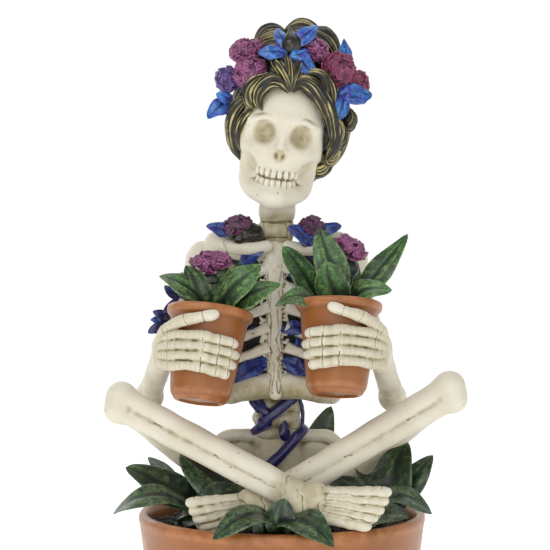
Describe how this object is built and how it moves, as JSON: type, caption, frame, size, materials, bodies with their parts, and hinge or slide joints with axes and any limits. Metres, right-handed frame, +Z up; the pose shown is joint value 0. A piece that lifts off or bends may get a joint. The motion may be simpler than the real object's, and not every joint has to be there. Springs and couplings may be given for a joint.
{
  "type": "seated catrina figurine",
  "caption": "Skeleton lady seated cross-legged in a flower pot, with a flower crown in her pinned-up hair and a small potted plant held against her chest in each hand.",
  "frame": {"origin": "centre of the felt pad's underside, on the surface that the flower pot stands on", "axes": "+Z up through the head, -Y the way the figure faces, +X to the right as seen from the front"},
  "size_m": [0.1202, 0.106, 0.241],
  "materials": {
    "bone_paint": "cast resin, painted ivory with a brown wash in the cracks, satin",
    "terracotta_paint": "cast resin painted terracotta orange, satin",
    "soil_paint": "cast resin, granular, painted near black, matt",
    "leaf_paint": "cast resin, dark green with bright green dry-brushing on edges and tips, satin",
    "blue_leaf_paint": "cast resin, metallic blue over violet, semi-gloss",
    "flower_paint": "cast resin, plum magenta with dark recesses, satin",
    "hair_paint": "cast resin, near-black brown dry-brushed gold, semi-gloss",
    "vine_paint": "cast resin, dark blue violet, semi-gloss",
    "armature_steel": "bright drawn steel wire",
    "felt": "pressed black felt"
  },
  "bodies": {
    "root": {"arm_vine": "vine_paint", "arm_wire": "armature_steel", "base_pot": "terracotta_paint", "chest_core": "soil_paint", "clavicle_left": "bone_paint", "clavicle_right": "bone_paint", "collar_posy_left": "flower_paint", "collar_posy_right": "flower_paint", "costal_margin": "bone_paint", "crown_flower_1": "flower_paint", "crown_flower_2": "flower_paint", "crown_flower_3": "flower_paint", "crown_flower_4": "flower_paint", "crown_flower_5": "flower_paint", "crown_flower_6": "flower_paint", "crown_leaves_centre": "blue_leaf_paint", "crown_leaves_left": "blue_leaf_paint", "crown_leaves_right": "blue_leaf_paint", "felt_pad": "felt", "femur_left": "bone_paint", "femur_right": "bone_paint", "foliage_back": "leaf_paint", "foliage_front": "leaf_paint", "foliage_left": "leaf_paint", "foliage_right": "leaf_paint", "foot_left": "bone_paint", "foot_right": "bone_paint", "forearm_left": "bone_paint", "forearm_right": "bone_paint", "hair_cap": "hair_paint", "hair_curls": "hair_paint", "hair_updo": "hair_paint", "hand_left": "bone_paint", "hand_plant_left": "leaf_paint", "hand_plant_right": "leaf_paint", "hand_pot_left": "terracotta_paint", "hand_pot_right": "terracotta_paint", "hand_right": "bone_paint", "humerus_left": "bone_paint", "humerus_right": "bone_paint", "leg_wire": "armature_steel", "lumbar_spine": "bone_paint", "neck": "bone_paint", "pelvis": "bone_paint", "plant_flower_left": "flower_paint", "plant_flower_right": "flower_paint", "rib_hoop_1": "bone_paint", "rib_hoop_2": "bone_paint", "rib_hoop_3": "bone_paint", "rib_hoop_4": "bone_paint", "rib_hoop_5": "bone_paint", "scapula_left": "bone_paint", "scapula_right": "bone_paint", "shin_left": "bone_paint", "shin_right": "bone_paint", "skull": "bone_paint", "soil_plug": "soil_paint", "spine_rod": "armature_steel", "spine_vine": "vine_paint", "sternum": "bone_paint"}
  },
  "joints": []
}
